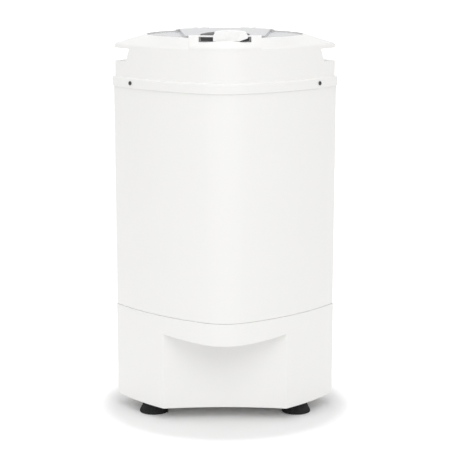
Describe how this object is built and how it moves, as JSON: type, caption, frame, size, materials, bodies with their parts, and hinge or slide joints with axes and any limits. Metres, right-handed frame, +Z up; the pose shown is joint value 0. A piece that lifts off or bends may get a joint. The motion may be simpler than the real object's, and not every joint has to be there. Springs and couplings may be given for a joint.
{
  "type": "spin dryer",
  "caption": "Upright spin dryer: tapered lozenge body on a scooped base, side grips, smoked hinged lid with a sliding latch, sprung motor, braked spin basket in a tub.",
  "frame": {"origin": "on the floor, under the middle of the body", "axes": "+Z up, front with the scoop and the latch towards -Y, +X to the right of someone who faces the front"},
  "size_m": [0.3706, 0.3126, 0.638],
  "materials": {
    "housing_white": "fine satin moulding",
    "plastic_white": "smooth moulding",
    "lid_smoked": "smooth, lightly smoked",
    "plastic_black": "satin moulding",
    "sheath_black": "satin sheath",
    "rubber_black": "matt",
    "rubber_grey": "matt",
    "steel": "brushed",
    "cast_aluminium": "as cast"
  },
  "bodies": {
    "housing": {"base_housing": "housing_white", "cabinet_shell": "housing_white", "top_cover": "housing_white", "front_plate": "housing_white", "hinge_cover": "housing_white", "lid_hinge_pin": "steel", "cord_gland": "plastic_black", "tub_support": "steel", "outer_tub": "plastic_white", "tub_gasket": "rubber_grey", "shaft_seal": "rubber_black", "drain_hose": "rubber_grey", "drain_spout": "plastic_black", "brake_cable": "sheath_black", "lid_switch": "plastic_black", "switch_lead": "sheath_black", "capacitor": "cast_aluminium", "capacitor_clip": "steel", "terminal_block": "plastic_black", "foot_front_left": "rubber_black", "foot_front_right": "rubber_black", "foot_rear_left": "rubber_black", "foot_rear_right": "rubber_black", "collar_screw_1": "plastic_black", "collar_screw_2": "plastic_black", "collar_screw_3": "plastic_black", "collar_screw_4": "plastic_black"},
    "motor_carrier": {"motor_plate": "steel", "motor_housing": "cast_aluminium", "motor_end_cap": "cast_aluminium", "motor_top_shield": "cast_aluminium", "motor_stator": "steel", "upper_bearing": "steel", "lower_bearing": "steel", "brake_pivot": "steel", "spring_cup_1": "rubber_black", "spring_cup_2": "rubber_black", "spring_cup_3": "rubber_black", "suspension_spring_1": "steel", "suspension_spring_2": "steel", "suspension_spring_3": "steel"},
    "rotor": {"drive_shaft": "steel", "motor_rotor": "steel", "brake_drum": "cast_aluminium", "basket_hub": "cast_aluminium", "spin_basket": "steel", "basket_floor": "steel", "basket_rim": "plastic_white", "hub_nut": "steel", "hub_cap": "plastic_white"},
    "brake_arm": {"brake_lever": "steel", "brake_shoe": "rubber_black"},
    "lid": {"lid_panel": "lid_smoked", "lid_hinge_arm": "plastic_white", "latch_base": "plastic_black"},
    "latch": {"lid_latch": "plastic_white"},
    "plunger": {"switch_plunger": "plastic_black"}
  },
  "joints": [
    {"name": "suspension_float", "type": "slide", "parent": "housing", "child": "motor_carrier", "axis": [0, 0, 1], "range_m": [-0.003, 0.003], "stiffness_N_per_m": 15000, "springref_m": 0.0055, "deforming": ["suspension_spring_1", "suspension_spring_2", "suspension_spring_3"]},
    {"name": "basket_spin", "type": "hinge", "parent": "motor_carrier", "child": "rotor", "pos_m": [0, 0, 0.2], "axis": [0, 0, 1], "continuous": true},
    {"name": "lid_hinge", "type": "hinge", "parent": "housing", "child": "lid", "pos_m": [0, 0.13341, 0.626], "axis": [-1, 0, 0], "range_deg": [0, 105]},
    {"name": "latch_slide", "type": "slide", "parent": "lid", "child": "latch", "axis": [1, 0, 0], "range_m": [-0.016, 0]},
    {"name": "brake_swing", "type": "hinge", "parent": "motor_carrier", "child": "brake_arm", "pos_m": [-0.0564, -0.03, 0.134], "axis": [0, 0, -1], "range_deg": [0, 2.4]},
    {"name": "plunger_slide", "type": "slide", "parent": "housing", "child": "plunger", "axis": [0, 0, 1], "range_m": [0, 0.004]}
  ],
  "couplings": [
    {"joint": "brake_swing", "follows": "lid_hinge", "ratio": 0.02283},
    {"joint": "plunger_slide", "follows": "lid_hinge", "m_per_rad": 0.0021805}
  ]
}
